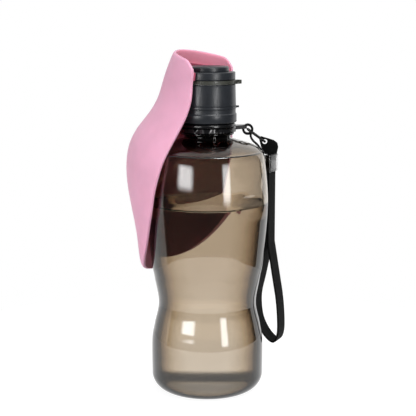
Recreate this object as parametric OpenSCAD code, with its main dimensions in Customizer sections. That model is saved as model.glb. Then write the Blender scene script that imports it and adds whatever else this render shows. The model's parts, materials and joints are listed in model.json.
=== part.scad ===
// Dog travel water bottle. A clear blown bottle carries a screw cap with a twist valve. A soft
// drinking trough hangs round the bottle from two pins on the cap head. It flips up over the spout,
// and the tilted bottle pours into it. A wrist strap hangs from a ring that swivels on the neck.
// The foot stands on z = 0, the bottle's axis is Z, and the trough hangs towards -X.

/* [Bottle] */
// Height of the body from the foot to the root of the neck
body_h = 169; // [160:1:180]
// Radius of the lower body
lower_r = 37.1; // [35:0.1:39]
// Radius at the waist
waist_r = 32.5; // [30:0.1:35]
// Height of the waist
waist_z = 59; // [54:1:64]
// Largest radius of the upper body
upper_r = 40.1; // [39:0.1:42]
// Height of the largest radius
upper_z = 126; // [118:1:132]
// Wall of the blown body
bottle_wall = 1.2; // [0.8:0.1:1.6]
// Width of the flat ring that the bottle stands on
foot_w = 4.5; // [3:0.5:6]
// Height of the hollow under the base
punt_h = 1.5; // [1:0.1:3]
// Radius of the two finger grooves on the side away from the trough
grip_r = 16; // [14:0.5:17]
// Depth of the finger grooves
grip_depth = 2.8; // [1.5:0.1:3]
// Distance between the finger grooves
grip_pitch = 24; // [20:1:28]

/* [Neck] */
// Outer radius of the neck
neck_r = 15.2; // [14:0.1:15.8]
// Bore radius of the neck
neck_bore_r = 13; // [11:0.1:13.4]
// Length of the neck above its root
neck_h = 24.6; // [23:0.2:27]
// Radius of the bead that carries the strap ring
bead_r = 17.4; // [16.6:0.1:18]
// Thickness of that bead
bead_h = 1.7; // [1.2:0.1:2.2]
// Height of the bead above the root of the neck
bead_rise = 2.4; // [2:0.1:3]

/* [Cap] */
// Outer radius of the cap's skirt
skirt_r = 19.1; // [18.6:0.1:19.4]
// Height of the wide foot of the skirt
skirt_h = 6; // [5:0.5:7]
// Outer radius of the cap above that foot
barrel_r = 18.5; // [18:0.1:18.6]
// Height of the whole screw cap
cap_h = 24.5; // [23.5:0.1:26]
// Height of the index ring's groove above the cap's lower edge
index_rise = 9; // [8:0.5:10]
// Thickness of the index ring
index_h = 1.6; // [1.2:0.1:2]
// Thickness of the deck over the neck
deck_h = 2.4; // [2:0.1:3]
// Thickness of the flow ring
flow_h = 2.4; // [2:0.1:3]
// Radius that the flow ring's thumb tab reaches
tab_reach = 22.3; // [21.5:0.1:23]
// How far the flow ring turns to open, in degrees
flow_turn = 70; // [60:5:80]
// Thickness of the cap head
head_h = 5; // [4.6:0.1:5.6]
// Outer radius of the cap head
head_r = 18.2; // [17.8:0.1:18.4]
// Outer radius of the spout
spout_r = 14; // [13:0.1:15]
// Height of the spout
spout_h = 3.6; // [3.2:0.1:4.4]
// Radius of the spout's outlet
outlet_r = 5; // [4:0.1:5.6]
// Radius of the water port through the deck, the core and the head
port_r = 3.2; // [2.5:0.1:3.4]
// Distance of the port from the axis
port_offset = 7.4; // [7.2:0.1:7.8]

/* [Trough] */
// Wall of the trough
trough_wall = 2.2; // [1.8:0.1:2.6]
// Height of the yoke's arms
yoke_h = 5; // [4.4:0.1:5.2]
// Wall of the yoke
yoke_wall = 1.7; // [1.4:0.1:1.9]
// Radius of the pivot pins
pin_r = 1.6; // [1.3:0.1:1.8]

/* [Wrist strap] */
// Width of the strap's tape
tape_w = 12; // [10:0.5:13]
// Thickness of the tape
tape_t = 1.3; // [1:0.1:1.6]
// Height of the clear sleeve
sleeve_h = 11.5; // [10:0.5:13]
// Wall of the clear sleeve
sleeve_wall = 0.8; // [0.6:0.1:1]
// Radius of the cord
cord_r = 0.8; // [0.6:0.1:0.9]

/* [Hidden] */
$fn = 96;

// Clearances: between pieces that move apart, in a running fit, and between turned faces.
gap = 0.3;
run_gap = 0.06;
overlap = 1;

// Heights, from the foot up.
bead_z = body_h + bead_rise;
ring_z = bead_z + bead_h + gap;
ring_h = 2.6;
collar_z = ring_z + ring_h + gap;
collar_h = 2.9;
cap_z = collar_z + collar_h + gap;
index_z = cap_z + index_rise;
neck_top = body_h + neck_h;
liner_h = 1;
liner_z = neck_top + run_gap;
deck_z = liner_z + liner_h;
core_z = deck_z + deck_h + gap;
flow_z = cap_z + cap_h + gap;
head_z = flow_z + flow_h + gap;
spout_z = head_z + head_h;
pivot_z = head_z + head_h / 2;

// Radii of the cap and of what is inside it.
collar_r = 18.4;
ring_r = 18.6;
thread_gap = 0.3;
cap_bore = neck_r + thread_gap;
core_bore = 16.2;
core_r = core_bore - gap;
stem_r = 3;
stem_tip_r = 2.4;
seal_r = 0.8;
seal_groove = 2 * seal_r - gap + run_gap;
seal_rise = 1.6;
face_seal_r = 13.6;
chamber_r = 11.8;
chamber_h = 1;
retainer_bore = 6.2;
retainer_h = 1.2;
valve_r = 8.4;
valve_h = 0.9;
slit_w = 0.3;
pin_seat = 4;
liner_bore = 11.6;

// The tape, the sleeve and the cord, which hang clear of the upper body and of the lower one.
hang_step = 3;
hang_r = max(upper_r, lower_r + hang_step);
strap_turn = 10;
strap_x = hang_r - 8.8;
strap_y = hang_r - 6.5;
lug_turn = 35;
lug_y = 17.2;
lug_x = hang_r - 13.1;
eye_r = 3.8;
eye_hole = 2.2;
eye_drop = 1.8;
lug_t = 3.2;
eye_z = ring_z + ring_h / 2 - eye_drop;
tab_t = 2.6;
tab_eye_x = hang_r - 1.6;
tab_eye_z = eye_z - 8.4;
sleeve_z = eye_z - 28.5;
strap_top = sleeve_z + sleeve_h + 0.2;

// A smooth curve through a list of points, each a list of numbers, with steps parts a stretch.
function spline_point(a, b, c, d, u) =
    0.5 * (2 * b + (c - a) * u + (2 * a - 5 * b + 4 * c - d) * u * u
    + (3 * b - 3 * c + d - a) * u * u * u);
function spline(p, steps) = [
    for (i = [0 : len(p) - 2], k = [0 : steps - 1])
        spline_point(p[max(i - 1, 0)], p[i], p[i + 1], p[min(i + 2, len(p) - 1)], k / steps),
    p[len(p) - 1]
];
// The same outline moved sideways by a distance, to its left when it is walked.
function side_step(p, i) =
    let (d = p[min(i + 1, len(p) - 1)] - p[max(i - 1, 0)])
    [-d[1], d[0]] / norm(d);
function moved_aside(p, by) = [for (i = [0 : len(p) - 1]) p[i] + by * side_step(p, i)];
function reversed(p) = [for (i = [len(p) - 1 : -1 : 0]) p[i]];

// ---- Bottle ----

corner_r = 11;
foot_r = lower_r - corner_r;
shoulder_z = body_h - 13;
shoulder_r = upper_r - 2.4;

// The hollow under the base slopes down to the flat ring, and the walls follow it.
function base_outline(up, out) = [
    [0, punt_h + up],
    [foot_r - foot_w - punt_h + out, punt_h + up],
    [foot_r - foot_w + out, up],
    [foot_r, up]
];

// The outside of the body from the foot's rounded corner to the root of the neck.
function corner_outline() = [
    for (a = [-80 : 10 : -10])
        [lower_r - corner_r + corner_r * cos(a), corner_r + corner_r * sin(a)]
];
function body_outline() = spline([
    [lower_r, corner_r],
    [lower_r, waist_z - 26],
    [lower_r - 1.7, waist_z - 15],
    [waist_r, waist_z],
    [waist_r + 2.6, waist_z + 17],
    [upper_r - 2.7, waist_z + 31],
    [upper_r, upper_z],
    [shoulder_r, shoulder_z],
    [shoulder_r - 3, shoulder_z + 5.5],
    [shoulder_r - 9, shoulder_z + 9],
    [neck_r + 5, shoulder_z + 11.6],
    [neck_r, body_h]
], 6);
function bottle_outline() = concat(corner_outline(), body_outline());

module turned(outline) {
    rotate_extrude()
        polygon(outline);
}

// Two sideways grooves for the fingers, on the side away from the trough. Each is as deep at its
// own height, where the body's radius differs.
grip_z = upper_z + 3;
GRIPS = [[upper_r, grip_z], [shoulder_r + 0.8, grip_z + grip_pitch]];
module grip_cutters(r) {
    for (grip = GRIPS)
        translate([grip[0] - grip_depth + grip_r, 0, grip[1]])
            rotate([90, 0, 0])
                cylinder(r = r, h = 2 * upper_r, center = true);
}

module bottle_outside() {
    difference() {
        union() {
            turned(concat(base_outline(0, 0), bottle_outline(), [[0, body_h]]));
            translate([0, 0, body_h - overlap])
                cylinder(r = neck_r, h = neck_h + overlap);
            translate([0, 0, bead_z])
                cylinder(r = bead_r, h = bead_h);
        }
        grip_cutters(grip_r);
    }
}

module bottle_inside() {
    inner = moved_aside(bottle_outline(), bottle_wall);
    difference() {
        union() {
            turned(concat(base_outline(bottle_wall, bottle_wall / 2),
                [for (p = inner) if (p[0] > neck_bore_r) p], [[0, body_h - bottle_wall]]));
            translate([0, 0, shoulder_z])
                cylinder(r = neck_bore_r, h = neck_top - shoulder_z + overlap);
        }
        grip_cutters(grip_r + bottle_wall);
    }
}

module bottle_shell() {
    color("#c9bfae", 0.45)
        difference() {
            bottle_outside();
            bottle_inside();
        }
}

// Snaps on the neck over the strap ring, so that the ring stays on when the cap comes off.
module retaining_collar() {
    color("#101010")
        translate([0, 0, collar_z])
            rotate_extrude()
                polygon([[neck_r, 0], [collar_r - 0.6, 0], [collar_r, 0.6], [collar_r, 1.9],
                    [collar_r - 1, collar_h], [neck_r, collar_h]]);
}

// ---- Strap ----

// The ring and its upright eye, whose hole faces along the local Y.
module strap_ring() {
    color("#17181a")
        difference() {
            union() {
                translate([0, 0, ring_z])
                    cylinder(r = ring_r, h = ring_h);
                rotate([0, 0, lug_turn]) {
                    translate([0, 0, ring_z])
                        linear_extrude(ring_h)
                            polygon([[4, 15], [15, 6], [lug_x, lug_y - lug_t / 2],
                                [lug_x, lug_y + lug_t / 2], [15, lug_y + lug_t / 2]]);
                    translate([lug_x, lug_y, eye_z])
                        rotate([90, 0, 0])
                            cylinder(r = eye_r, h = lug_t, center = true);
                }
            }
            translate([0, 0, ring_z - overlap])
                cylinder(r = neck_r + 0.1, h = ring_h + 2 * overlap);
            rotate([0, 0, lug_turn])
                translate([lug_x, lug_y, eye_z])
                    rotate([90, 0, 0])
                        cylinder(r = eye_hole, h = lug_t + overlap, center = true);
        }
}

// The slack leg of the cord, from the eye down to the foot of the tab, in the lug's turned frame.
SLACK = [[lug_x + 2.2, lug_y - 2.9, eye_z - 2.1], [lug_x + 2, lug_y - 3, eye_z - 4.7],
    [lug_x + 3.6, lug_y - 3.2, eye_z - 7.5], [tab_eye_x - 5.1, lug_y - 3.2, tab_eye_z - 1.7],
    [tab_eye_x - 2.5, lug_y - 2.8, tab_eye_z - 5.1], [tab_eye_x - 0.7, lug_y - 2, tab_eye_z - 7.6]];

// A bend of the slack leg is a ball just wider than the cord, so that its parts meet cleanly.
knuckle = 0.02;

module rod(a, b, r) {
    run = b - a;
    translate(a)
        rotate([0, acos(run[2] / norm(run)), atan2(run[1], run[0])])
            cylinder(r = r, h = norm(run));
}

// A loop of cord through the ring's eye and the tab's eye, and its slack leg.
module strap_cord() {
    bend_r = 2.9;
    run = [tab_eye_x - lug_x, tab_eye_z - eye_z];
    length = norm(run) - 2 * bend_r;
    color("#0c0c0c")
        rotate([0, 0, lug_turn])
            translate([lug_x, lug_y, eye_z])
                rotate([0, -atan2(run[1], run[0]), 0])
                    translate([bend_r, 0, 0]) {
                        for (side = [-1, 1])
                            translate([0, side * bend_r, 0])
                                rotate([0, 90, 0])
                                    cylinder(r = cord_r, h = length);
                        rotate([0, 0, 90])
                            rotate_extrude(angle = 180)
                                translate([bend_r, 0])
                                    circle(r = cord_r);
                        translate([length, 0, 0])
                            rotate([0, 0, -90])
                                rotate_extrude(angle = 180)
                                    translate([bend_r, 0])
                                        circle(r = cord_r);
                    }
    color("#0c0c0c")
        rotate([0, 0, lug_turn])
            for (i = [1 : len(SLACK) - 1]) {
                rod(SLACK[i - 1], SLACK[i], cord_r);
                translate(SLACK[i])
                    sphere(r = cord_r + knuckle);
            }
}

// The short folded end of tape that hangs on the cord and faces forwards.
module strap_tab() {
    tab_half = tape_w / 2;
    foot_x = tab_eye_x + 4;
    color("#0e0e0e")
        rotate([0, 0, lug_turn])
            translate([0, lug_y + tab_t / 2, 0])
                rotate([90, 0, 0])
                    difference() {
                        linear_extrude(tab_t)
                            polygon([[foot_x - 4, strap_top], [foot_x + 4, strap_top],
                                [foot_x + 5, strap_top + 5], [foot_x + 4.4, strap_top + 7.6],
                                [foot_x + 2, strap_top + 9.4], [tab_eye_x - 2.6, strap_top + 12],
                                [tab_eye_x - 4, strap_top + 10.6], [tab_eye_x - 2.4, strap_top + 4.6]]);
                        translate([tab_eye_x, tab_eye_z, -overlap])
                            cylinder(r = 1.7, h = tab_t + 2 * overlap);
                    }
}

// The tape's middle line, down one side of the loop and up the other, in the strap's own frame.
double_x = tape_t / 2 + 0.02;
LOOP = [[-0.7, -60], [-2, -68], [-5.3, -84], [-8.3, -98], [-7.4, -112], [-3.3, -121.5],
    [2.2, -127.5], [6.2, -128], [8.5, -122], [8.5, -111], [7.3, -98], [4.9, -84], [2.1, -68],
    [0.7, -60]];
function tape_line() = concat([[-double_x, 0], [-double_x, -50]],
    [for (p = spline(LOOP, 4)) p], [[double_x, -50], [double_x, 0]]);

module wrist_strap() {
    line = tape_line();
    color("#0e0e0e")
        rotate([0, 0, strap_turn])
            translate([strap_x, strap_y + tape_w / 2, strap_top])
                rotate([90, 0, 0])
                    linear_extrude(tape_w)
                        polygon(concat(moved_aside(line, tape_t / 2),
                            reversed(moved_aside(line, -tape_t / 2))));
}

// A clear sleeve that holds the two layers of tape together.
module strap_sleeve() {
    sleeve_in = [2 * tape_t + 0.8, tape_w + 0.6];
    sleeve_out = sleeve_in + [2 * sleeve_wall, 2 * sleeve_wall];
    color("#e8e8ea", 0.35)
        rotate([0, 0, strap_turn])
            translate([strap_x, strap_y, sleeve_z])
                difference() {
                    linear_extrude(sleeve_h)
                        square(sleeve_out, center = true);
                    translate([0, 0, -overlap])
                        linear_extrude(sleeve_h + 2 * overlap)
                            square(sleeve_in, center = true);
                }
}

// ---- Cap ----

module port_hole(turn, z, h) {
    rotate([0, 0, turn])
        translate([port_offset, 0, z])
            cylinder(r = port_r, h = h);
}

// Skirt, barrel and deck in one moulding. The valve core sits in the cup above the deck.
module screw_cap() {
    top = cap_z + cap_h;
    color("#3b3f47")
        difference() {
            rotate_extrude()
                polygon([
                    [cap_bore, cap_z],
                    [skirt_r - 0.4, cap_z],
                    [skirt_r, cap_z + 0.6],
                    [skirt_r, cap_z + skirt_h - 0.5],
                    [barrel_r, cap_z + skirt_h],
                    [barrel_r, index_z],
                    [barrel_r - 0.8, index_z],
                    [barrel_r - 0.8, index_z + index_h],
                    [barrel_r + 0.2, index_z + index_h],
                    [barrel_r - 0.2, top],
                    [core_bore, top],
                    [core_bore, deck_z + deck_h],
                    [0, deck_z + deck_h],
                    [0, deck_z],
                    [cap_bore, deck_z]
                ]);
            translate([0, 0, deck_z - overlap])
                cylinder(r = stem_tip_r, h = deck_h + 2 * overlap);
            port_hole(180, deck_z - overlap, deck_h + 2 * overlap);
        }
}

module cap_liner() {
    color("#d8d8d8")
        translate([0, 0, liner_z])
            difference() {
                cylinder(r = cap_bore, h = liner_h);
                translate([0, 0, -overlap])
                    cylinder(r = liner_bore, h = liner_h + 2 * overlap);
            }
}

// A snap ring in the cap's groove, with the pointer that the thumb tab is read against.
module index_ring() {
    rim_r = barrel_r + 0.5;
    color("#2c3036")
        difference() {
            union() {
                translate([0, 0, index_z])
                    cylinder(r = rim_r, h = index_h);
                rotate([0, 0, lug_turn])
                    translate([0, 0, index_z + 0.4])
                        linear_extrude(index_h - 0.4)
                            polygon([[rim_r - 1.5, -2.2], [rim_r + 1.6, -0.4], [rim_r + 1.6, 0.4],
                                [rim_r - 1.5, 2.2]]);
            }
            translate([0, 0, index_z - overlap])
                cylinder(r = barrel_r - 0.8, h = index_h + 2 * overlap);
        }
}

// The fixed head. Its stem runs down through the core and snaps into the deck.
module cap_head() {
    color("#3b3f47")
        difference() {
            union() {
                rotate_extrude()
                    polygon([
                        [0, head_z],
                        [head_r - 0.3, head_z],
                        [head_r, head_z + 0.3],
                        [head_r, spout_z - 0.4],
                        [head_r - 0.4, spout_z],
                        [chamber_r, spout_z],
                        [chamber_r, spout_z - chamber_h],
                        [0, spout_z - chamber_h]
                    ]);
                translate([0, 0, deck_z + deck_h])
                    cylinder(r = stem_r, h = head_z - deck_z - deck_h + overlap);
                translate([0, 0, deck_z + 0.4])
                    cylinder(r = stem_tip_r, h = deck_h + overlap);
            }
            port_hole(180, head_z - overlap, head_h + 2 * overlap);
            for (side = [-1, 1])
                translate([0, side * (head_r - pin_seat), pivot_z])
                    rotate([-side * 90, 0, 0])
                        cylinder(r = pin_r, h = pin_seat + overlap);
            translate([0, 0, head_z])
                rotate_extrude()
                    translate([face_seal_r - seal_r, -overlap])
                        square([2 * seal_r, overlap + seal_groove]);
        }
}

// Two pins pressed in the head, which the yoke turns on.
module pivot_pins() {
    pin_in = head_r - pin_seat;
    color("#7d8086")
        for (side = [-1, 1])
            translate([0, side * pin_in, pivot_z])
                rotate([-side * 90, 0, 0])
                    cylinder(r = pin_r, h = half_w(section_at(0)) - gap - pin_in);
}

// The drinking spout: a dished cap with an outlet, over the chamber.
module spout() {
    color("#33373d")
        translate([0, 0, spout_z])
            rotate_extrude()
                polygon([
                    [chamber_r, 0],
                    [spout_r, 0],
                    [spout_r, spout_h - 0.9],
                    [spout_r - 0.9, spout_h],
                    [spout_r - 2, spout_h],
                    [outlet_r + 0.6, spout_h - 0.5],
                    [outlet_r, spout_h - 1.2],
                    [outlet_r, retainer_h + valve_h],
                    [chamber_r, retainer_h + valve_h]
                ]);
}

// A soft disc that opens along a cross when the bottle is squeezed.
module slit_valve() {
    color("#e9e6e2")
        translate([0, 0, spout_z + retainer_h])
            difference() {
                cylinder(r = valve_r, h = valve_h);
                for (turn = [0, 90])
                    rotate([0, 0, turn])
                        translate([-outlet_r * 0.7, -slit_w / 2, -overlap])
                            cube([outlet_r * 1.4, slit_w, valve_h + 2 * overlap]);
            }
}

module valve_retainer() {
    color("#d5d7da")
        translate([0, 0, spout_z])
            difference() {
                cylinder(r = chamber_r, h = retainer_h);
                translate([0, 0, -overlap])
                    cylinder(r = retainer_bore, h = retainer_h + 2 * overlap);
            }
}

// A face seal between the head and the turning core.
module head_seal() {
    color("#151515")
        translate([0, 0, head_z + seal_groove - seal_r])
            rotate_extrude()
                translate([face_seal_r, 0])
                    circle(r = seal_r, $fn = 32);
}

// The soft ring with a thumb tab, bonded round the core's flange.
module flow_ring() {
    flow_r = head_r + 0.5;
    tab_w = 5;
    color("#4a4a45")
        difference() {
            union() {
                translate([0, 0, flow_z])
                    cylinder(r = flow_r, h = flow_h);
                rotate([0, 0, lug_turn]) {
                    translate([flow_r - 2, -tab_w / 2, flow_z])
                        cube([tab_reach - flow_r + 2 - tab_w / 2 + 1, tab_w, flow_h]);
                    translate([tab_reach - tab_w / 2, 0, flow_z])
                        cylinder(r = tab_w / 2, h = flow_h);
                }
            }
            translate([0, 0, flow_z - overlap])
                cylinder(r = core_r, h = flow_h + 2 * overlap);
        }
}

// The turning core. Its port meets the deck's and the head's port when the ring is turned.
module valve_core() {
    core_h = flow_z + flow_h - core_z;
    color("#c9ccd0")
        difference() {
            rotate_extrude()
                polygon([
                    [stem_r + 0.2, core_z],
                    [core_r, core_z],
                    [core_r, core_z + seal_rise],
                    [core_r - seal_groove, core_z + seal_rise],
                    [core_r - seal_groove, core_z + seal_rise + 2 * seal_r],
                    [core_r, core_z + seal_rise + 2 * seal_r],
                    [core_r, flow_z + flow_h],
                    [stem_r + 0.2, flow_z + flow_h]
                ]);
            port_hole(180 + flow_turn, core_z - overlap, core_h + 2 * overlap);
        }
}

module core_seals() {
    color("#151515")
        translate([0, 0, core_z + seal_rise + seal_r])
            rotate_extrude()
                translate([core_r - seal_groove + seal_r, 0])
                    circle(r = seal_r, $fn = 32);
}

// ---- Trough ----

// Sections of the trough's inner face, from its top to its tip. Each gives the height above the
// pivot, how far the size has gone over from the head's radius to the bottle's, the rim's distance
// past that radius, the rim's angle from -X, and the back's distance past that radius.
SECTIONS = [
    [16.5, 0, 3.3, 102, 1.6],
    [6.5, 0, 3.5, 102, 7.1],
    [-4.5, 0, 2.8, 99.5, 12.1],
    [-14.5, 0, 3.5, 98.5, 15.9],
    [-24.5, 0.2, 1.8, 94, 18],
    [-34.5, 0.5, -0.4, 87.5, 20.6],
    [-44.5, 0.8, -1.4, 83, 19.6],
    [-54.5, 1, -1.3, 79, 16.2],
    [-64.5, 1, 0.9, 76, 15.2],
    [-74.5, 1, 2, 72.5, 12.7],
    [-84.5, 1, 2.1, 69.5, 9.4],
    [-94.5, 1, 1.6, 64, 6],
    [-104.5, 1, 1.1, 58, 3.2],
    [-114.5, 1, 1, 50, 1.5],
    [-121.5, 1, 1, 41.5, 0.9],
    [-127.5, 1, 1.2, 29.5, 0.8],
    [-130.5, 1, 1, 19, 0.8],
    [-132, 1, 0.6, 8, 0.9]
];
HALF_COLUMNS = 13;
top_drop = 6.5;
straight_top = -4.5;
function section_base(s) = head_r + s[1] * (upper_r - head_r);
function rim_r(s) = section_base(s) + s[2];
function rim_x(s) = -rim_r(s) * cos(s[3]);
function half_w(s) = rim_r(s) * sin(s[3]);
function back_r(s) = section_base(s) + s[4];
// The angle of each column round a section, closer together near the rims.
function column_angle(j) = 90 * (1 - cos(90 * j / HALF_COLUMNS));
// The top edge falls from the back to the rims and rounds off at each rim.
function top_fall(a) = top_drop * (1 - sin(a)) + 5 * pow(max(0, 1 - 4 * sin(a)), 2);
function point_z(s, a) =
    s[0] <= straight_top ? s[0]
    : straight_top + (s[0] - straight_top) * (1 - top_fall(a) / (SECTIONS[0][0] - straight_top));
// The section at a height above the pivot, for a wall that follows the trough's inside.
FINE = spline(SECTIONS, 2);
function section_at(z) =
    [for (column = [0 : 4]) lookup(z, [for (s = FINE) [s[0], s[column]]])];
// The height in the table that ends up at this height in a column, after the top's fall.
function table_z(z, a) =
    z <= straight_top ? z
    : straight_top + (z - straight_top) / (1 - top_fall(a) / (SECTIONS[0][0] - straight_top));
// A point of the section, that distance outside the inner face.
function wall_point(s, a, out) =
    let (x = rim_x(s), deep = max(back_r(s) + x, 0.4))
    [x - (deep + out) * sin(a), (half_w(s) + out) * cos(a), pivot_z + point_z(s, a)];

// A curved wall between two distances from the trough's inner face. section gives the section
// of each row and column, from the top row down.
module curved_wall(rows, section, inside, outside) {
    columns = 2 * HALF_COLUMNS;
    around = columns + 1;
    count = rows * around;
    last = rows - 1;
    function at(layer, i, j) = layer * count + i * around + j;
    // Two triangles between four corners, which are given anticlockwise from outside.
    function face(p, q, r, s) = [[p, r, q], [p, s, r]];
    points = [
        for (out = [inside, outside], i = [0 : last], j = [0 : columns])
            wall_point(section(i, column_angle(j)), column_angle(j), out)
    ];
    faces = [
        for (i = [0 : last - 1], j = [0 : columns - 1])
            each concat(
                face(at(0, i, j), at(0, i, j + 1), at(0, i + 1, j + 1), at(0, i + 1, j)),
                face(at(1, i, j), at(1, i + 1, j), at(1, i + 1, j + 1), at(1, i, j + 1))),
        for (i = [0 : last - 1])
            each concat(
                face(at(0, i, 0), at(0, i + 1, 0), at(1, i + 1, 0), at(1, i, 0)),
                face(at(0, i, columns), at(1, i, columns), at(1, i + 1, columns),
                    at(0, i + 1, columns))),
        for (j = [0 : columns - 1])
            each concat(
                face(at(0, 0, j), at(1, 0, j), at(1, 0, j + 1), at(0, 0, j + 1)),
                face(at(0, last, j), at(0, last, j + 1), at(1, last, j + 1), at(1, last, j)))
    ];
    polyhedron(points, faces, convexity = 6);
}

module trough_shell() {
    color("#e2a8c3")
        curved_wall(len(FINE), function (i, a) FINE[i], 0, trough_wall);
}

// A stiff collar inside the top of the trough, with a bearing for each pin. It is as high as its
// arms at the pins and rises towards the back.
YOKE_ROWS = 4;
yoke_rise = 5.3;
yoke_low_rise = 2.4;
yoke_off = 0.1;
function yoke_z(i, a) =
    let (top = yoke_h / 2 + yoke_rise * sin(a), low = -yoke_h / 2 + yoke_low_rise * sin(a))
    top + (low - top) * i / (YOKE_ROWS - 1);
module trough_yoke() {
    color("#a83a50")
        difference() {
            curved_wall(YOKE_ROWS, function (i, a) section_at(table_z(yoke_z(i, a), a)),
                -yoke_wall - yoke_off, -yoke_off);
            translate([0, 0, pivot_z])
                rotate([90, 0, 0])
                    cylinder(r = pin_r + run_gap, h = 3 * upper_r, center = true);
        }
}

bottle_shell();
retaining_collar();
strap_ring();
strap_cord();
strap_tab();
strap_sleeve();
wrist_strap();
screw_cap();
cap_liner();
index_ring();
cap_head();
pivot_pins();
spout();
slit_valve();
valve_retainer();
head_seal();
flow_ring();
valve_core();
core_seals();
trough_shell();
trough_yoke();
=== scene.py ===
"""The looks of a dog travel water bottle, built round its packed frame. Shapes are worked out in
millimetres, in the frame's axes: +Z up, the trough towards -X, the finger grooves towards +X."""

import json
import math

import bmesh
import bpy
from mathutils import Matrix, Vector

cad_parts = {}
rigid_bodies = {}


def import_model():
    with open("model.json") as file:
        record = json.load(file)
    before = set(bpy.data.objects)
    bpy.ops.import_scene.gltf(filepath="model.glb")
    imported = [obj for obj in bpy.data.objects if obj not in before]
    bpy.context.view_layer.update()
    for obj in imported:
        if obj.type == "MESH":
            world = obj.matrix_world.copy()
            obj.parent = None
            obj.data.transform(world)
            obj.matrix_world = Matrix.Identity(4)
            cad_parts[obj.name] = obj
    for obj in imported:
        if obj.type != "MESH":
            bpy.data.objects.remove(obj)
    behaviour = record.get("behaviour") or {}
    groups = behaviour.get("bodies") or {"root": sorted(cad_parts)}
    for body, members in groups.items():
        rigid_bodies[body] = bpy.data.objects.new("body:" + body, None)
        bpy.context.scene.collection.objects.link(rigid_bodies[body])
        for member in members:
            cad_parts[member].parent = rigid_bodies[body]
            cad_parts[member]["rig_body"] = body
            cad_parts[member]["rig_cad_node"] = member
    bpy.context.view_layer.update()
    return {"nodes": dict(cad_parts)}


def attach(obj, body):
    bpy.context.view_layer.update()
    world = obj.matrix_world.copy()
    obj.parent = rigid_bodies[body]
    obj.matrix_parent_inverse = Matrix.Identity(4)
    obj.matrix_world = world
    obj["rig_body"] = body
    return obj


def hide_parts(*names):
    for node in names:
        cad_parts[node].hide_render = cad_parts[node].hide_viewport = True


bl_info = {
    "name": "Dog travel water bottle",
    "version": (1, 0, 0),
    "blender": (4, 5, 0),
    "location": "View3D > Sidebar > Water bottle",
    "description": "Builds the bottle, its cap, its flip-up trough and its wrist strap",
    "category": "Object",
}

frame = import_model()
MM = 0.001


def linear(code):
    """The linear colour of an sRGB hex code."""
    parts = [int(code[i : i + 2], 16) / 255 for i in (1, 3, 5)]
    return tuple(p / 12.92 if p <= 0.04045 else ((p + 0.055) / 1.055) ** 2.4 for p in parts)


# ---- Sizes and colours that a user would change ----


def length(name, description, default_mm):
    return bpy.props.FloatProperty(
        name=name, description=description, default=default_mm * MM, unit="LENGTH", precision=5
    )


def colour(name, description, code):
    return bpy.props.FloatVectorProperty(
        name=name, description=description, default=linear(code), subtype="COLOR", size=3, min=0, max=1
    )


class BottleSizes(bpy.types.PropertyGroup):
    """The blown body and its neck"""

    body_height: length("Body height", "From the foot to the root of the neck", 169)
    lower_radius: length("Lower radius", "Radius of the lower body", 37.1)
    waist_radius: length("Waist radius", "Radius at the waist", 32.5)
    waist_height: length("Waist height", "Height of the waist", 59)
    upper_radius: length("Upper radius", "Largest radius of the upper body", 40.1)
    upper_height: length("Upper height", "Height of the largest radius", 126)
    wall: length("Wall", "Wall of the blown body", 1.2)
    grip_depth: length("Groove depth", "Depth of the finger grooves", 2.8)
    water_level: length("Water level", "Height of the water's surface", 125.7)
    tint: colour("Tint", "Smoke tint of the clear body", "#DDD2C3")


class CapSizes(bpy.types.PropertyGroup):
    """The screw cap, its head and its valve"""

    bevel: length("Edge radius", "Radius along the edges of the moulded cap pieces", 0.28)
    thread_pitch: length("Thread pitch", "Rise of the thread in one turn", 4.0)
    plastic: colour("Cap plastic", "Moulded plastic of the cap", "#212429")
    ring: colour("Flow ring", "Soft ring with the thumb tab", "#34352F")


class TroughSizes(bpy.types.PropertyGroup):
    """The flip-up drinking trough"""

    wall: length("Wall", "Wall of the silicone", 2.2)
    silicone: colour("Silicone", "Matt silicone of the trough", "#E2A6C0")
    # The inside colour is painted shade: the trough's inner side is drawn a deeper pink for the shade
    # inside it.
    inside: colour("Inside", "Deeper skin on the trough's inner side", "#F09EB4")
    # The yoke colour is a deep red: partly the collar's own colour, partly painted shade under the
    # trough's top.
    yoke: colour("Yoke", "Stiff collar inside the top of the trough", "#B4546C")


class StrapSizes(bpy.types.PropertyGroup):
    """The wrist strap"""

    tape_width: length("Tape width", "Width of the woven tape", 12)
    tape_thickness: length("Tape thickness", "Thickness of the woven tape", 1.3)
    thread_spacing: length("Thread spacing", "Distance between the tape's weft threads", 0.9)
    tape: colour("Tape", "Black woven nylon", "#050505")


class StudioSettings(bpy.types.PropertyGroup):
    """The camera, the lights and the floor"""

    distance: length("Camera distance", "Level distance from the bottle's axis to the camera", 720)
    height: length("Camera height", "Height of the camera over the floor", 248)
    turn: bpy.props.FloatProperty(
        name="Camera turn", description="Turn of the camera round the bottle", default=math.radians(35),
        subtype="ANGLE"
    )
    pitch: bpy.props.FloatProperty(
        name="Camera pitch", description="How far the camera looks down", default=math.radians(9.9),
        subtype="ANGLE"
    )
    floor: colour("Floor", "Pale floor", "#F7F7F7")


GROUPS = {
    "bottle_sizes": BottleSizes,
    "cap_sizes": CapSizes,
    "trough_sizes": TroughSizes,
    "strap_sizes": StrapSizes,
    "studio_settings": StudioSettings,
}


def mm(value):
    return value / MM


# ---- Curves and outlines ----


def spline_point(points, i, u):
    """A point of the smooth curve between points i and i + 1."""
    last = len(points) - 1
    a, b, c, d = (points[k] for k in (max(i - 1, 0), i, min(i + 1, last), min(i + 2, last)))
    return [
        0.5
        * (
            2 * q
            + (r - p) * u
            + (2 * p - 5 * q + 4 * r - s) * u * u
            + (3 * q - 3 * r + s - p) * u ** 3
        )
        for p, q, r, s in zip(a, b, c, d)
    ]


def spline(points, steps):
    """A smooth curve through a list of points, with that many parts a stretch."""
    line = [spline_point(points, i, k / steps) for i in range(len(points) - 1) for k in range(steps)]
    return line + [list(points[-1])]


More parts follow.
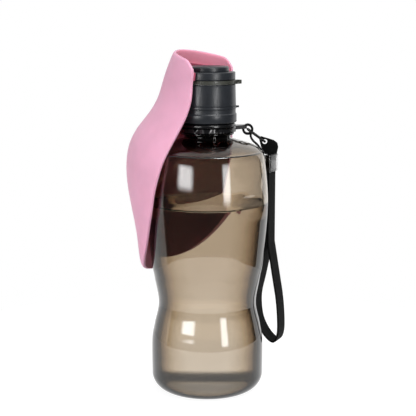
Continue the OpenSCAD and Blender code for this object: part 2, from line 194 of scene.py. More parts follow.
def moved_aside(line, by):
    """A flat line moved to its left by a distance."""
    moved = []
    for i, (x, z) in enumerate(line):
        ahead, behind = line[min(i + 1, len(line) - 1)], line[max(i - 1, 0)]
        dx, dz = ahead[0] - behind[0], ahead[1] - behind[1]
        size = math.hypot(dx, dz) or 1
        moved.append((x - by * dz / size, z + by * dx / size))
    return moved


# ---- Meshes ----


def linked(name, data):
    made = bpy.data.objects.new(name, data)
    bpy.context.scene.collection.objects.link(made)
    return made


def piece_from(name, points, faces, turn=None, smooth_angle=math.radians(40)):
    """A piece with its points given in millimetres, turned about Z where a turn is given."""
    mesh = bpy.data.meshes.new(name)
    mesh.from_pydata([(x * MM, y * MM, z * MM) for x, y, z in points], [], faces)
    if turn is not None:
        mesh.transform(Matrix.Rotation(turn, 4, "Z"))
    mesh.validate()
    mesh.update()
    piece = linked(name, mesh)
    shade(piece, smooth_angle)
    return piece


def shade(piece, smooth_angle=math.radians(40)):
    """Smooth shading, but for edges sharper than that angle."""
    piece.data.shade_smooth()
    piece.data.set_sharp_from_angle(angle=smooth_angle)


def make_real(piece):
    """Turns a piece's modifiers into its own mesh."""
    bpy.context.view_layer.update()
    graph = bpy.context.evaluated_depsgraph_get()
    mesh = bpy.data.meshes.new_from_object(piece.evaluated_get(graph))
    piece.modifiers.clear()
    piece.data = mesh


def round_edges(piece, bevel, segments, sharpest):
    """Rounds the edges that turn by more than an angle."""
    edges = piece.modifiers.new("edges", "BEVEL")
    edges.width = bevel
    edges.segments = segments
    edges.limit_method = "ANGLE"
    edges.angle_limit = sharpest
    make_real(piece)


def dressed_copy(node, name, bevel, segments=3):
    """A copy of a CAD node whose edges are rounded as a moulding's are."""
    piece = frame["nodes"][node].copy()
    piece.data = frame["nodes"][node].data.copy()
    piece.name = name
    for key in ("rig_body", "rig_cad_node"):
        if key in piece:
            del piece[key]
    piece.parent = None
    bpy.context.scene.collection.objects.link(piece)
    piece.data.materials.clear()
    build = bmesh.new()
    build.from_mesh(piece.data)
    bmesh.ops.remove_doubles(build, verts=build.verts, dist=2e-6)
    bmesh.ops.dissolve_limit(
        build, angle_limit=math.radians(0.5), verts=build.verts, edges=build.edges
    )
    for edge in build.edges:
        edge.smooth = True
    build.to_mesh(piece.data)
    build.free()
    if bevel > 0:
        round_edges(piece, bevel, segments, math.radians(35))
    shade(piece)
    return piece


def outward(piece):
    """Turns the faces outwards."""
    build = bmesh.new()
    build.from_mesh(piece.data)
    bmesh.ops.recalc_face_normals(build, faces=build.faces)
    build.to_mesh(piece.data)
    build.free()


def subdivided(piece, levels):
    smooth = piece.modifiers.new("smooth", "SUBSURF")
    smooth.levels = smooth.render_levels = levels
    make_real(piece)


def finish_piece(piece, material, body, slot, *nodes):
    """Gives a piece its material and its body, and hides the nodes that it stands for. The slot is not
    used.
    """
    piece.data.materials.clear()
    piece.data.materials.append(material)
    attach(piece, body)
    if nodes:
        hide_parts(*nodes)


# ---- Materials ----


def add(tree, kind, inputs=None, links=None, **settings):
    """Adds a node with its settings, its input values and the sockets that it is linked from."""
    made = tree.nodes.new(kind)
    for name, value in settings.items():
        setattr(made, name, value)
    for socket, value in (inputs or {}).items():
        made.inputs[socket].default_value = value
    for socket, source in (links or {}).items():
        tree.links.new(source, made.inputs[socket])
    return made


def empty_tree(owner):
    """The node tree of a material, a lamp or the world, with nothing in it yet."""
    owner.use_nodes = True
    owner.node_tree.nodes.clear()
    return owner.node_tree


def new_material(name, shader_inputs):
    material = bpy.data.materials.new(name)
    tree = empty_tree(material)
    shader = add(tree, "ShaderNodeBsdfPrincipled", shader_inputs)
    add(tree, "ShaderNodeOutputMaterial", links={"Surface": shader.outputs["BSDF"]})
    return material, tree, shader


def opaque(code_or_colour):
    rgb = linear(code_or_colour) if isinstance(code_or_colour, str) else tuple(code_or_colour)
    return (*rgb, 1)


def set_stops(ramp, stops):
    """Sets a colour ramp's stops, which are given in order as (position, colour)."""
    made = ramp.color_ramp.elements
    while len(made) < len(stops):
        made.new(0.5)
    for stop, (position, _) in zip(made, stops):
        stop.position = position
    for stop, (_, rgb) in zip(made, stops):
        stop.color = opaque(rgb)


def scaled(rgb, by):
    return tuple(min(1, c * by) for c in rgb)


def noise_over(tree, size_mm, detail):
    """Noise over the object's own coordinates, with patches of that real size."""
    place = add(tree, "ShaderNodeTexCoord")
    return add(tree, "ShaderNodeTexNoise", {"Scale": 1 / (size_mm * MM), "Detail": detail},
               {"Vector": place.outputs["Object"]})


def noise_bump(tree, shader, size_mm, height_mm, detail=2, strength=1.0):
    """Gives a material a bump of that grain, in real size."""
    noise = noise_over(tree, size_mm, detail)
    bump = add(tree, "ShaderNodeBump", {"Strength": strength, "Distance": height_mm * MM},
               {"Height": noise.outputs["Fac"]})
    tree.links.new(bump.outputs["Normal"], shader.inputs["Normal"])


def varied_colour(tree, shader, low, high, size_mm):
    """A faint drift of colour over the surface, as in a pigmented moulding."""
    noise = noise_over(tree, size_mm, 3)
    ramp = add(tree, "ShaderNodeValToRGB", links={"Fac": noise.outputs["Fac"]})
    set_stops(ramp, [(0.35, low), (0.65, high)])
    tree.links.new(ramp.outputs["Color"], shader.inputs["Base Color"])


def moulded(name, shader_inputs, rgb, drift, patch_mm, grain_mm, rise_mm, detail=2):
    """A moulding dyed through: its colour drifts between two shares of itself, under a grain."""
    material, tree, shader = new_material(name, shader_inputs)
    varied_colour(tree, shader, scaled(rgb, drift[0]), scaled(rgb, drift[1]), patch_mm)
    noise_bump(tree, shader, grain_mm, rise_mm, detail)
    return material


def smoke_copolyester(sizes):
    """Blown clear copolyester with a smoke tint: sharp reflections with a slow wobble from the
    blowing. The base and neck are drawn near black: partly the thick wall's deeper smoke, partly
    painted shade under the base and under the cap. The walls are painted dark where they are seen
    edge-on, a painted shade along the edges, fully below the water and less above it."""
    material, tree, shader = new_material(
        "smoke_copolyester",
        {"Transmission Weight": 1.0, "Roughness": 0.015, "IOR": 1.54},
    )
    place = add(tree, "ShaderNodeTexCoord")
    height = add(tree, "ShaderNodeSeparateXYZ", links={"Vector": place.outputs["Object"]})
    top = sizes.body_height + SMOKE_ABOVE * MM
    rise = add(tree, "ShaderNodeMath", {1: 1 / top}, {0: height.outputs["Z"]}, operation="MULTIPLY")
    # The colour up the body. Near the foot and the neck it goes near black: the thicker wall's deeper
    # smoke with painted shade on top.
    ramp = add(tree, "ShaderNodeValToRGB", links={"Fac": rise.outputs[0]})
    set_stops(ramp, [
        (z * MM / top, [d + (t - d) * thin for d, t in zip(linear(deep), sizes.tint)])
        for z, deep, thin in SMOKE_AND_SHADE
    ])
    # Painted shade: the wall's colour goes dark where the wall is seen edge-on.
    rim = add(tree, "ShaderNodeLayerWeight", {"Blend": 0.5})
    edge = add(tree, "ShaderNodeValToRGB", links={"Fac": rim.outputs["Facing"]})
    set_stops(edge, PAINTED_EDGE_SHADE)
    wet = add(
        tree, "ShaderNodeMapRange",
        {"From Min": sizes.water_level - WET_FADE * MM, "From Max": sizes.water_level,
         "To Min": 1.0, "To Max": DRY_PAINTED_EDGE_SHADE},
        {"Value": height.outputs["Z"]},
    )
    tint = add(
        tree, "ShaderNodeMix",
        links={0: wet.outputs["Result"], 6: ramp.outputs["Color"], 7: edge.outputs["Color"]},
        data_type="RGBA", blend_type="MULTIPLY",
    )
    tree.links.new(tint.outputs[2], shader.inputs["Base Color"])
    noise_bump(tree, shader, 22, 0.25, detail=0, strength=0.5)
    return material


# How far the wall is turned from the eye, 0 face-on and 1 edge-on, and how much of the wall's colour is
# left there: a painted shade that darkens the edges.
PAINTED_EDGE_SHADE = (
    (0.1, (1.0, 1.0, 1.0)),
    (0.18, (0.82, 0.78, 0.72)),
    (0.28, (0.56, 0.49, 0.38)),
    (0.38, (0.25, 0.19, 0.14)),
    (0.48, (0.015, 0.011, 0.007)),
    (0.6, (0.001, 0.001, 0.001)),
)

# Heights on the body in millimetres, the colour drawn there, and how far it has thinned to the body's
# own tint.
# The near-black at the foot and at the neck is partly the thick wall's deeper smoke and partly painted
# shade.
SMOKE_AND_SHADE = (
    (1.0, "#1B1916", 0.0),
    (3.2, "#26231F", 0.05),
    (5.5, "#F0ECE6", 0.35),
    (50.0, "#EAE4DA", 0.45),
    (90.0, "#EAE4DA", 0.9),
    (156.0, "#DDD2C3", 1.0),
    (165.0, "#5C5348", 0.35),
    (170.0, "#1E1A17", 0.0),
)

# How far the table reaches above the body, over what height the painted dark edges fade at the water's
# level, and what share of them is left above it.
SMOKE_ABOVE = 8
WET_FADE = 8
DRY_PAINTED_EDGE_SHADE = 0.3


def still_water():
    """Clean water: it bends what lies behind it and adds almost no colour."""
    material, _, _ = new_material(
        "still_water",
        {"Base Color": opaque("#F4EFE8"), "Transmission Weight": 1.0, "Roughness": 0.0, "IOR": 1.333},
    )
    return material


def matt_silicone(name, rgb):
    """Pressed silicone rubber: a soft, slightly see-through skin with a fine blasted grain. The
    grain is drawn at 0.7 mm, coarser than real, so that it shows."""
    return moulded(name, {
        "Roughness": 0.55, "IOR": 1.41, "Subsurface Weight": 0.12,
        "Subsurface Radius": (1.0, 0.45, 0.4), "Subsurface Scale": 2.5 * MM, "Sheen Weight": 0.08,
        "Sheen Roughness": 0.5,
    }, rgb, (0.965, 1.03), 14, 0.7, 0.05)


def shaded_rose_plastic(sizes):
    """Satin moulded plastic of the yoke, dyed through; its deep red is partly its own colour and partly
    painted shade under the trough's top.
    """
    return moulded("shaded_rose_plastic", {"Roughness": 0.42, "IOR": 1.49}, sizes.yoke, (0.93, 1.05),
                   9, 0.6, 0.03)


def glossy_plastic(name, rgb, roughness=0.34):
    """Moulded ABS from a polished tool: tight reflections with a faint orange peel."""
    return moulded(name, {"Roughness": roughness, "IOR": 1.53}, rgb, (0.9, 1.1), 6, 2.4, 0.03, 1)


def soft_rubber(name, rgb, roughness=0.5):
    """Moulded elastomer with a dull skin and a fine grain, drawn at 0.5 mm so that it shows."""
    return moulded(name, {"Roughness": roughness, "IOR": 1.5}, rgb, (0.88, 1.12), 5, 0.5, 0.04)


def woven_nylon(sizes):
    """Plain-woven nylon tape: ribs of weft across it, crossed by warp threads, with a slight sheen.
    The pattern follows the tape's own UV map, which is in millimetres."""
    material, tree, shader = new_material(
        "woven_nylon",
        {"Roughness": 0.75, "IOR": 1.4, "Specular IOR Level": 0.15, "Sheen Weight": 0.01,
         "Sheen Roughness": 0.35},
    )
    thread = mm(sizes.thread_spacing)
    place = add(tree, "ShaderNodeTexCoord")
    axes = add(tree, "ShaderNodeSeparateXYZ", links={"Vector": place.outputs["UV"]})
    waves = []
    for axis, spacing in (("X", thread * 1.3), ("Y", thread)):
        phase = add(tree, "ShaderNodeMath", {1: 2 * math.pi / spacing}, {0: axes.outputs[axis]},
                    operation="MULTIPLY")
        waves.append(add(tree, "ShaderNodeMath", links={0: phase.outputs[0]}, operation="SINE"))
    cross = add(tree, "ShaderNodeMath", links={0: waves[0].outputs[0], 1: waves[1].outputs[0]},
                operation="MULTIPLY")
    height = add(tree, "ShaderNodeMapRange", {"From Min": -1.0, "From Max": 1.0},
                 {"Value": cross.outputs[0]})
    ramp = add(tree, "ShaderNodeValToRGB", links={"Fac": height.outputs["Result"]})
    set_stops(ramp, [(0, scaled(sizes.tape, 0.6)), (1, scaled(sizes.tape, 2.2))])
    tree.links.new(ramp.outputs["Color"], shader.inputs["Base Color"])
    bump = add(tree, "ShaderNodeBump", {"Strength": 0.8, "Distance": 0.18 * MM},
               {"Height": height.outputs["Result"]})
    tree.links.new(bump.outputs["Normal"], shader.inputs["Normal"])
    return material


def clear_vinyl():
    """Extruded clear vinyl: see-through with a waxy, slightly uneven skin."""
    material, tree, shader = new_material(
        "clear_vinyl",
        {"Base Color": opaque("#F1F0F0"), "Transmission Weight": 1.0, "Roughness": 0.08, "IOR": 1.53},
    )
    noise_bump(tree, shader, 3, 0.08, detail=1)
    return material


def ground_steel():
    """Ground stainless pin: grey, with a fine grain."""
    material, tree, shader = new_material(
        "ground_steel", {"Base Color": opaque("#B9B9BB"), "Metallic": 1.0, "Roughness": 0.3}
    )
    noise_bump(tree, shader, 0.4, 0.02)
    return material


MATERIALS = {}


def material_of(name, maker, *settings):
    """A material is made once and shared by the pieces that need it."""
    if name not in MATERIALS:
        MATERIALS[name] = maker(*settings)
    return MATERIALS[name]


# ---- Bottle ----

CORNER = 11
NECK = 15.2
BEAD = 17.4
NECK_BORE = 13
NECK_HEIGHT = 24.6
PUNT = 1.5
FOOT_WIDTH = 4.5
GRIP_RADIUS = 16
GRIP_PITCH = 24
GRIP_TURN = math.radians(9)
# The lower groove's height over the largest radius, how much further in the upper groove is, and how
# far the grooves' edges are softened.
GRIP_ABOVE = 3
GRIP_STEP = 1.6
GRIP_SOFT = 0.45


def body_outline(sizes, steps=12):
    """The outside of the body, from the flat foot ring to the root of the neck."""
    lower, waist, upper = mm(sizes.lower_radius), mm(sizes.waist_radius), mm(sizes.upper_radius)
    waist_z, upper_z, top = mm(sizes.waist_height), mm(sizes.upper_height), mm(sizes.body_height)
    shoulder, shoulder_z = upper - 2.4, top - 13
    middle = lower - CORNER
    corner = [
        (middle + CORNER * math.cos(math.radians(a)), CORNER + CORNER * math.sin(math.radians(a)))
        for a in range(-90, 0, 5)
    ]
    wall = spline(
        [
            (lower, CORNER),
            (lower, waist_z - 26),
            (lower - 1.7, waist_z - 15),
            (waist, waist_z),
            (waist + 2.6, waist_z + 17),
            (upper - 2.7, waist_z + 31),
            (upper, upper_z),
            (shoulder, shoulder_z),
            (shoulder - 3, shoulder_z + 5.5),
            (shoulder - 9, shoulder_z + 9),
            (NECK + 5, shoulder_z + 11.6),
            (NECK, top),
        ],
        steps,
    )
    return corner + [tuple(p) for p in wall]


def grip_depth_at(sizes, r, z, turn, offset):
    """The radius at a place on the body, pressed in by the finger grooves."""
    side = math.cos(turn)
    if side < 0.5:
        return r
    upper, low = mm(sizes.upper_radius), mm(sizes.upper_height) + GRIP_ABOVE
    for radius, centre in ((upper, low), (upper - GRIP_STEP, low + GRIP_PITCH)):
        reach = GRIP_RADIUS + offset
        if abs(z - centre) >= reach:
            continue
        flat = radius - mm(sizes.grip_depth) + GRIP_RADIUS - math.sqrt(reach ** 2 - (z - centre) ** 2)
        cut = flat / side
        blend = max(GRIP_SOFT - abs(r - cut), 0) / GRIP_SOFT
        r = min(r, cut) - blend * blend * GRIP_SOFT / 4
    return r


def ring_band(faces, low, high):
    """Joins two rings of points by faces. A ring of one point is a pole."""
    count = max(len(low), len(high))
    for j in range(count if count > 1 else 0):
        k = (j + 1) % count
        if len(low) == 1:
            faces.append((low[0], high[k], high[j]))
        elif len(high) == 1:
            faces.append((low[j], low[k], high[0]))
        else:
            faces.append((low[j], low[k], high[k], high[j]))


def bottle_skin(sizes, outline, offset, segments, points):
    """Adds one skin of the bottle, and returns its rings of points."""
    rings = []
    for r, z in outline:
        if r < 1e-6:
            rings.append([len(points)])
            points.append((0, 0, z))
            continue
        rings.append(list(range(len(points), len(points) + segments)))
        for j in range(segments):
            turn = 2 * math.pi * j / segments
            pressed = grip_depth_at(sizes, r, z, turn + GRIP_TURN, offset)
            points.append((pressed * math.cos(turn), pressed * math.sin(turn), z))
    return rings


def bottle_mesh(sizes, name, outlines, segments=240):
    """A body of revolution with finger grooves. outlines are (outline, offset) in one closed walk."""
    points, faces, rings = [], [], []
    for outline, offset in outlines:
        rings += bottle_skin(sizes, outline, offset, segments, points)
    for low, high in zip(rings, rings[1:]):
        ring_band(faces, low, high)
    return piece_from(name, points, faces, smooth_angle=math.radians(50))


def neck_outline(sizes):
    """The outside of the neck above the body, with its bead, up to the rounded lip."""
    top = mm(sizes.body_height)
    bead = top + 2.4
    return [
        (NECK, bead - 0.35),
        (NECK + 0.3, bead),
        (BEAD - 0.4, bead),
        (BEAD, bead + 0.4),
        (BEAD, bead + 1.3),
        (BEAD - 0.4, bead + 1.7),
        (NECK + 0.2, bead + 1.7),
        (NECK, bead + 1.9),
        (NECK, top + NECK_HEIGHT - 0.6),
        (NECK - 0.2, top + NECK_HEIGHT - 0.15),
        (NECK - 0.6, top + NECK_HEIGHT),
        (NECK_BORE + 0.5, top + NECK_HEIGHT),
        (NECK_BORE + 0.1, top + NECK_HEIGHT - 0.2),
        (NECK_BORE, top + NECK_HEIGHT - 0.6),
    ]


def base_outline(sizes, up, out):
    """The hollow under the base, out to the flat foot ring, with the gate's small nub."""
    foot = mm(sizes.lower_radius) - CORNER
    nub = 0.7 if up == 0 else 0
    hollow = PUNT + up
    return [
        (0, hollow - nub),
        (2.2, hollow - nub),
        (2.8, hollow),
        (foot - FOOT_WIDTH - PUNT - 1 + out, hollow),
        (foot - FOOT_WIDTH - PUNT + out, hollow - 0.25),
        (foot - FOOT_WIDTH - 0.6 + out, up + 0.45),
        (foot - FOOT_WIDTH + 0.5 + out, up),
    ]


def inside_outline(sizes, gap=0.0):
    """The inner skin of the body from the neck's bore down to the middle of the floor."""
    wall = mm(sizes.wall) + gap
    inner = [p for p in moved_aside(body_outline(sizes), wall) if p[0] > NECK_BORE + gap]
    floor = base_outline(sizes, wall, wall / 2)
    return inner[::-1], floor[::-1]


class BOTTLE_OT_body(bpy.types.Operator):
    """Blows the clear body with its waist, finger grooves, neck and walls"""

    bl_idname = "water_bottle.body"
    bl_label = "Clear body"

    def execute(self, context):
        sizes = context.scene.bottle_sizes
        inner, floor = inside_outline(sizes)
        outside = base_outline(sizes, 0, 0) + body_outline(sizes) + neck_outline(sizes)
        piece = bottle_mesh(sizes, "clear_body", [(outside, 0), (inner + floor, mm(sizes.wall))])
        material = material_of("smoke_copolyester", smoke_copolyester, sizes)
        finish_piece(piece, material, "bottle", "clear_tritan", "bottle_shell")
        return {"FINISHED"}


class BOTTLE_OT_water(bpy.types.Operator):
    """Fills the body with water up to its level, with a meniscus at the wall"""

    bl_idname = "water_bottle.water"
    bl_label = "Water"

    def execute(self, context):
        sizes = context.scene.bottle_sizes
        sink = -0.12
        level = mm(sizes.water_level)
        inner, floor = inside_outline(sizes, sink)
        skin = [p for p in inner if p[1] < level - 0.5]
        edge = [p for p in inner if p[1] >= level - 0.5][-1][0]
        surface = [(0, level), (edge - 5, level), (edge - 2, level + 0.1), (edge - 0.7, level + 0.6),
                   (edge - 0.02, level + 1.4)]
        walk = (surface + skin + floor)[::-1]
        piece = bottle_mesh(sizes, "water", [(walk, mm(sizes.wall) + sink)])
        material = material_of("still_water", still_water)
        finish_piece(piece, material, "bottle", "clear_tritan")
        return {"FINISHED"}


# ---- Threads, made by Geometry Nodes ----

# The share of its length over which a thread runs out at each end, and how thick its tips stay.
THREAD_RUNOUT = 0.06
THREAD_TIP = 0.12


def thread_tree():
    """A ridge that winds up a cylinder: a spiral swept by a small round profile."""
    tree = bpy.data.node_groups.new("screw_thread", "GeometryNodeTree")
    sockets = {}
    for name in ("Radius", "Pitch", "Turns", "Start", "Ridge", "Material"):
        kind = "NodeSocketMaterial" if name == "Material" else "NodeSocketFloat"
        item = tree.interface.new_socket(name=name, in_out="INPUT", socket_type=kind)
        sockets[name] = item.identifier
    tree.interface.new_socket(name="Geometry", in_out="OUTPUT", socket_type="NodeSocketGeometry")
    given = add(tree, "NodeGroupInput")
    rise = add(tree, "ShaderNodeMath", links={0: given.outputs["Pitch"], 1: given.outputs["Turns"]},
               operation="MULTIPLY")
    line = add(
        tree, "GeometryNodeCurveSpiral", {"Resolution": 96},
        {"Rotations": given.outputs["Turns"], "Start Radius": given.outputs["Radius"],
         "End Radius": given.outputs["Radius"], "Height": rise.outputs[0]},
    )
    lift = add(tree, "ShaderNodeCombineXYZ", links={"Z": given.outputs["Start"]})
    placed = add(tree, "GeometryNodeTransform",
                 links={"Geometry": line.outputs[0], "Translation": lift.outputs[0]})
    along = add(tree, "GeometryNodeSplineParameter")
    grow = add(tree, "ShaderNodeMapRange", {"From Max": THREAD_RUNOUT},
               {"Value": along.outputs["Factor"]})
    shrink = add(tree, "ShaderNodeMapRange", {"From Min": 1.0, "From Max": 1 - THREAD_RUNOUT},
                 {"Value": along.outputs["Factor"]})
    taper = add(tree, "ShaderNodeMath", links={0: grow.outputs[0], 1: shrink.outputs[0]},
                operation="MULTIPLY")
    kept = add(tree, "ShaderNodeMath", {1: THREAD_TIP}, {0: taper.outputs[0]}, operation="MAXIMUM")
    profile = add(tree, "GeometryNodeCurvePrimitiveCircle", {"Resolution": 10},
                  {"Radius": given.outputs["Ridge"]})
    swept = add(tree, "GeometryNodeCurveToMesh", {"Fill Caps": True},
                {"Curve": placed.outputs[0], "Profile Curve": profile.outputs[0],
                 "Scale": kept.outputs[0]})
    real = add(tree, "GeometryNodeRealizeInstances", links={"Geometry": swept.outputs[0]})
    dressed = add(tree, "GeometryNodeSetMaterial",
                  links={"Geometry": real.outputs[0], "Material": given.outputs["Material"]})
    add(tree, "NodeGroupOutput", links={"Geometry": dressed.outputs[0]})
    return tree, sockets


def grown(name, tree, sockets, values):
    """A piece made by a Geometry Nodes tree and baked to a plain mesh."""
    piece = linked(name, bpy.data.meshes.new(name))
    rule = piece.modifiers.new("rule", "NODES")
    rule.node_group = tree
    for key, value in values.items():
        rule[sockets[key]] = value
    make_real(piece)
    shade(piece, math.radians(60))
    return piece


class BOTTLE_OT_threads(bpy.types.Operator):
    """Winds the thread on the neck and the thread in the cap"""

    bl_idname = "water_bottle.threads"
    bl_label = "Threads"

    def execute(self, context):
        sizes, cap = context.scene.bottle_sizes, context.scene.cap_sizes
        tree, sockets = thread_tree()
        top = sizes.body_height
        clear = material_of("smoke_copolyester", smoke_copolyester, sizes)
        dark = material_of("charcoal_plastic", glossy_plastic, "charcoal_plastic", cap.plastic)
        neck = grown("neck_thread", tree, sockets, {
            "Radius": NECK * MM, "Pitch": cap.thread_pitch, "Turns": 1.75,
            "Start": top + 14.2 * MM, "Ridge": 0.42 * MM, "Material": clear,
        })
        finish_piece(neck, clear, "bottle", "clear_tritan")
        inside = grown("cap_thread", tree, sockets, {
            "Radius": (NECK + 0.62) * MM, "Pitch": cap.thread_pitch, "Turns": 1.5,
            "Start": top + 12.2 * MM, "Ridge": 0.4 * MM, "Material": dark,
        })
        finish_piece(inside, dark, "cap", "charcoal_plastic")
        return {"FINISHED"}


# ---- Cap ----


class BOTTLE_OT_cap(bpy.types.Operator):
    """Moulds the screw cap, the index ring, the head and the dished spout"""

    bl_idname = "water_bottle.cap"
    bl_label = "Cap"

    def execute(self, context):
        cap = context.scene.cap_sizes
        dark = material_of("charcoal_plastic", glossy_plastic, "charcoal_plastic", cap.plastic)
        for node, name in (
            ("screw_cap", "cap_moulding"),
            ("index_ring", "index_snap_ring"),
            ("cap_head", "head_moulding"),
            ("spout", "spout_moulding"),
        ):
            piece = dressed_copy(node, name, cap.bevel)
            finish_piece(piece, dark, "cap", "charcoal_plastic", node)
        return {"FINISHED"}


class BOTTLE_OT_valve(bpy.types.Operator):
    """Moulds the flow ring with its thumb tab, and dresses the pieces inside the cap"""

    bl_idname = "water_bottle.valve"
    bl_label = "Valve"

    def execute(self, context):
        cap = context.scene.cap_sizes
        olive = material_of("olive_elastomer", soft_rubber, "olive_elastomer", cap.ring, 0.4)
        piece = dressed_copy("flow_ring", "flow_ring_moulding", 0.4 * MM)
        finish_piece(piece, olive, "flow_valve", "olive_rubber", "flow_ring")
        pale = soft_rubber("white_silicone_rubber", linear("#E3E0DA"), 0.45)
        natural = glossy_plastic("natural_acetal", linear("#C9CBCE"), 0.35)
        black = soft_rubber("nitrile_rubber", linear("#151515"), 0.45)
        steel = ground_steel()
        for node, material in (
            ("slit_valve", pale),
            ("cap_liner", pale),
            ("valve_retainer", natural),
            ("valve_core", natural),
            ("head_seal", black),
            ("core_seals", black),
            ("pivot_pins", steel),
        ):
            piece = frame["nodes"][node]
            piece.data.materials.clear()
            piece.data.materials.append(material)
        return {"FINISHED"}


class BOTTLE_OT_neck_rings(bpy.types.Operator):
    """Moulds the black collar on the neck and the strap ring with its upright eye"""

    bl_idname = "water_bottle.neck_rings"
    bl_label = "Neck rings"

    def execute(self, context):
        black = material_of("black_plastic", glossy_plastic, "black_plastic", linear("#0E0E10"), 0.2)
        collar = dressed_copy("retaining_collar", "collar_moulding", 0.3 * MM)
        finish_piece(collar, black, "bottle", "black_plastic", "retaining_collar")
        ring = dressed_copy("strap_ring", "strap_ring_moulding", 0.5 * MM, 4)
        finish_piece(ring, black, "strap_swivel", "black_plastic", "strap_ring")
        return {"FINISHED"}


# ---- Trough ----

HEAD = 18.2
PIVOT = 209.5
TOP_DROP = 6.5
STRAIGHT_TOP = -4.5
WALL_COLUMNS = 36
YOKE_ROWS = 5
# The height of the yoke's arms, how far its two edges rise towards its back, and where its faces lie,
# from the trough's inner face.
YOKE_ARM = 5.0
YOKE_TOP_RISE = 5.3
YOKE_LOW_RISE = 2.4
YOKE_INNER = -1.8
YOKE_OUTER = -0.1
# Height above the pivot, share of the way from the head's radius to the bottle's, the rim's distance
# past that radius, the rim's angle from -X, and the back's distance past that radius.
SECTIONS = [
    (16.5, 0, 3.3, 102, 1.6),
    (6.5, 0, 3.5, 102, 7.1),
    (-4.5, 0, 2.8, 99.5, 12.1),
    (-14.5, 0, 3.5, 98.5, 15.9),
    (-24.5, 0.2, 1.8, 94, 18),
    (-34.5, 0.5, -0.4, 87.5, 20.6),
    (-44.5, 0.8, -1.4, 83, 19.6),
    (-54.5, 1, -1.3, 79, 16.2),
    (-64.5, 1, 0.9, 76, 15.2),
    (-74.5, 1, 2, 72.5, 12.7),
    (-84.5, 1, 2.1, 69.5, 9.4),
    (-94.5, 1, 1.6, 64, 6),
    (-104.5, 1, 1.1, 58, 3.2),
    (-114.5, 1, 1, 50, 1.5),
    (-121.5, 1, 1, 41.5, 0.9),
    (-127.5, 1, 1.2, 29.5, 0.8),
    (-130.5, 1, 1, 19, 0.8),
    (-132, 1, 0.6, 8, 0.9),
]


def top_fall(a):
    """How far the top edge has fallen below its back, round to each rim."""
    return TOP_DROP * (1 - math.sin(a)) + 5 * max(0, 1 - 4 * math.sin(a)) ** 2


def stretch(a):
    return 1 - top_fall(a) / (SECTIONS[0][0] - STRAIGHT_TOP)


def section_at(lines, z):
    """The section at a height above the pivot."""
    for low, high in zip(lines[1:], lines):
        if low[0] <= z <= high[0]:
            u = (z - low[0]) / (high[0] - low[0])
            return [a + (b - a) * u for a, b in zip(low, high)]
    return lines[0] if z > lines[0][0] else lines[-1]


def wall_point(section, a, out, upper):
    """A point of a section, that distance outside the trough's inner face."""
    height, share, rim_off, rim_turn, back_off = section
    base = HEAD + share * (upper - HEAD)
    rim_turn = math.radians(rim_turn)
    rim_x = -(base + rim_off) * math.cos(rim_turn)
    half = (base + rim_off) * math.sin(rim_turn)
    deep = max(base + back_off + rim_x, 0.4)
    z = height if height <= STRAIGHT_TOP else STRAIGHT_TOP + (height - STRAIGHT_TOP) * stretch(a)
    return (rim_x - (deep + out) * math.sin(a), (half + out) * math.cos(a), PIVOT + z)


def curved_wall(name, rows, columns, section, inside, outside, upper):
    """A closed curved wall between two distances from the trough's inner face."""
    points, faces = [], []
    angles = [math.pi / 2 * (1 - math.cos(math.pi * j / columns)) for j in range(columns + 1)]
    around = columns + 1
    for out in (inside, outside):
        for i in range(rows):
            for a in angles:
                points.append(wall_point(section(i, a), a, out, upper))

    def at(layer, i, j):
        return layer * rows * around + i * around + j

    for i in range(rows - 1):
        for j in range(columns):
            faces.append((at(0, i, j), at(0, i, j + 1), at(0, i + 1, j + 1), at(0, i + 1, j)))
            faces.append((at(1, i, j), at(1, i + 1, j), at(1, i + 1, j + 1), at(1, i, j + 1)))
        faces.append((at(0, i, 0), at(0, i + 1, 0), at(1, i + 1, 0), at(1, i, 0)))
        faces.append((at(0, i, columns), at(1, i, columns), at(1, i + 1, columns),
                      at(0, i + 1, columns)))
    for j in range(columns):
        faces.append((at(0, 0, j), at(1, 0, j), at(1, 0, j + 1), at(0, 0, j + 1)))
        faces.append((at(0, rows - 1, j), at(0, rows - 1, j + 1), at(1, rows - 1, j + 1),
                      at(1, rows - 1, j)))
    piece = piece_from(name, points, faces)
    inner = rows * around
    for face in piece.data.polygons:
        face.material_index = int(all(v < inner for v in face.vertices))
    outward(piece)
    return piece


